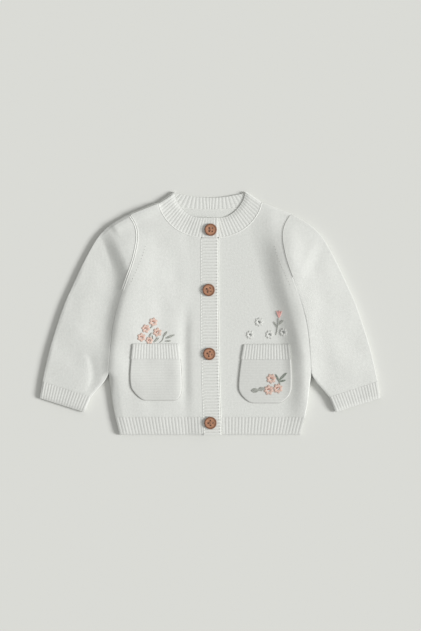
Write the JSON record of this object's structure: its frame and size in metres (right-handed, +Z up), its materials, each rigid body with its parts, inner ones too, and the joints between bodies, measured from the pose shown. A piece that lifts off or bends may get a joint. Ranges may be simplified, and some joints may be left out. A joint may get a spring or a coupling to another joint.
{
  "type": "baby cardigan",
  "caption": "Baby's knitted round-neck cardigan with ribbed bands, patch pockets and a buttoned front, laid flat with its sleeves down.",
  "frame": {"origin": "on the surface it lies on, midway between the cuffs and midway between the hem and the neck", "axes": "+X towards the wearer's left sleeve, +Y towards the neck, +Z up from the surface"},
  "size_m": [0.42, 0.3, 0.015],
  "materials": {
    "knit": "matt fine knit",
    "rib": "matt ribbed knit",
    "button": "satin"
  },
  "bodies": {
    "root": {"back": "knit", "front_left": "knit", "front_right": "knit", "sleeve_left": "knit", "sleeve_right": "knit", "pocket_left": "knit", "pocket_right": "knit", "hem_back": "rib", "neckband": "rib", "button_band": "rib", "buttonhole_band": "rib", "hem_front_left": "rib", "hem_front_right": "rib", "cuff_left": "rib", "cuff_right": "rib", "pocket_welt_left": "rib", "pocket_welt_right": "rib", "button_1": "button", "button_2": "button", "button_3": "button", "button_4": "button"}
  },
  "joints": []
}
